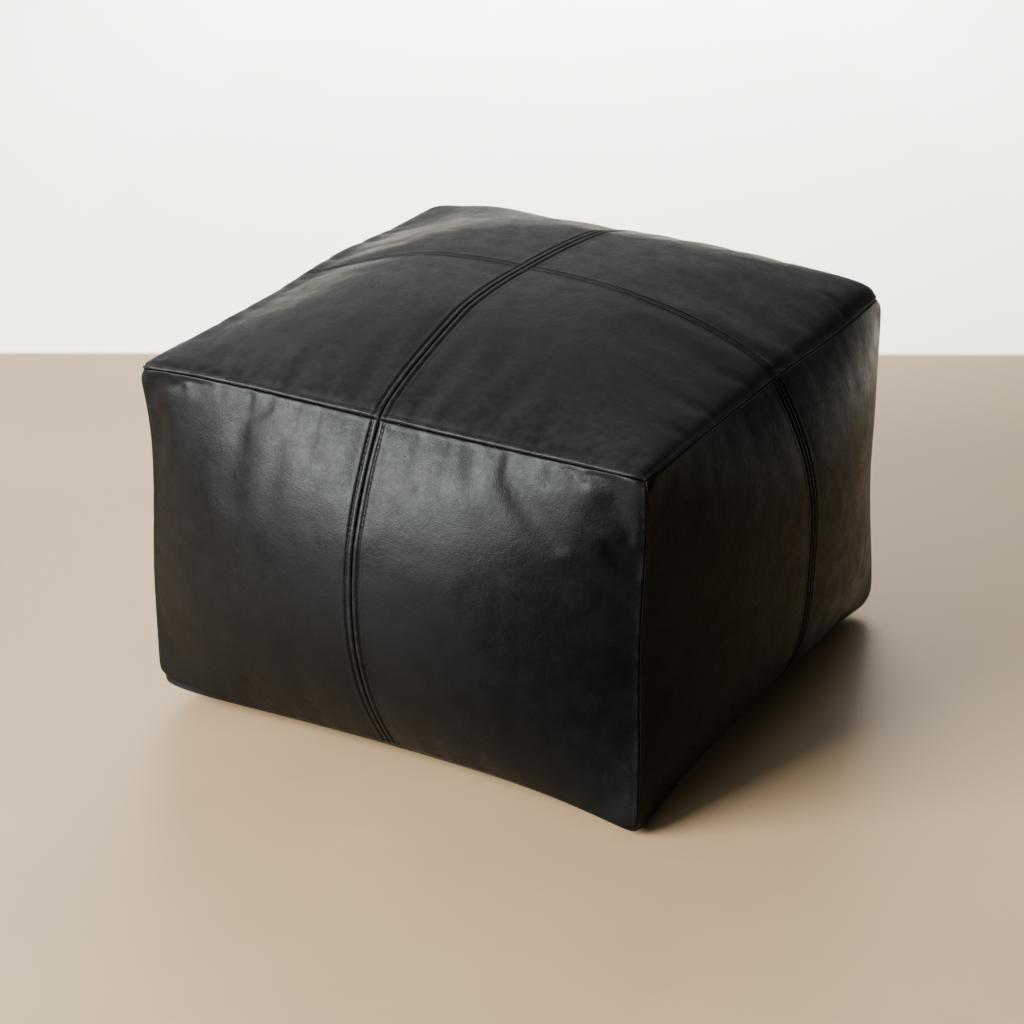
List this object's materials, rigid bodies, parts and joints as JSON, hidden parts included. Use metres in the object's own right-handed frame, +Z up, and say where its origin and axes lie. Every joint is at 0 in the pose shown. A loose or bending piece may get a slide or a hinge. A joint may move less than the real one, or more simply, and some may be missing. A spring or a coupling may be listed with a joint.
{
  "type": "moroccan leather pouf",
  "caption": "Low square seat: an overstuffed leather cover sewn from panels with opened, topstitched centre seams, a filled inner bag and a zip underneath.",
  "frame": {"origin": "on the floor, under the middle of the pouf", "axes": "+Z up; the front, with the seam that is in line with the long top seam, faces -Y; the zip underneath runs along X"},
  "size_m": [0.6, 0.6, 0.4],
  "materials": {
    "leather": "satin",
    "cotton": "matte",
    "wadding": "matte",
    "zip_tape": "matte",
    "zip_teeth": "satin",
    "zip_metal": "satin"
  },
  "bodies": {
    "pouf": {"top_panel_front_left": "leather", "top_panel_front_right": "leather", "top_panel_back_left": "leather", "top_panel_back_right": "leather", "front_panel_left": "leather", "front_panel_right": "leather", "right_panel_front": "leather", "right_panel_back": "leather", "back_panel_right": "leather", "back_panel_left": "leather", "left_panel_back": "leather", "left_panel_front": "leather", "bottom_panel_front": "leather", "bottom_panel_back": "leather", "top_seam_tape": "cotton", "top_seam_tape_left": "cotton", "top_seam_tape_right": "cotton", "front_seam_tape": "cotton", "right_seam_tape": "cotton", "back_seam_tape": "cotton", "left_seam_tape": "cotton", "inner_bag": "cotton", "filling": "wadding", "zip_tape_front": "zip_tape", "zip_tape_back": "zip_tape", "zip_coil_front": "zip_teeth", "zip_coil_back": "zip_teeth", "zip_top_stop_front": "zip_metal", "zip_top_stop_back": "zip_metal", "zip_bottom_stop": "zip_metal"},
    "slider": {"zip_slider": "zip_metal"},
    "pull_tab": {"zip_pull_tab": "zip_metal"}
  },
  "joints": [
    {"name": "zip_slide", "type": "slide", "parent": "pouf", "child": "slider", "axis": [-1, 0, 0], "range_m": [0, 0.41], "deforming": ["zip_coil_front", "zip_coil_back"]},
    {"name": "pull_tab_swing", "type": "hinge", "parent": "slider", "child": "pull_tab", "pos_m": [0.2056, 0, 0.00455], "axis": [0, -1, 0], "range_deg": [0, 175]}
  ]
}
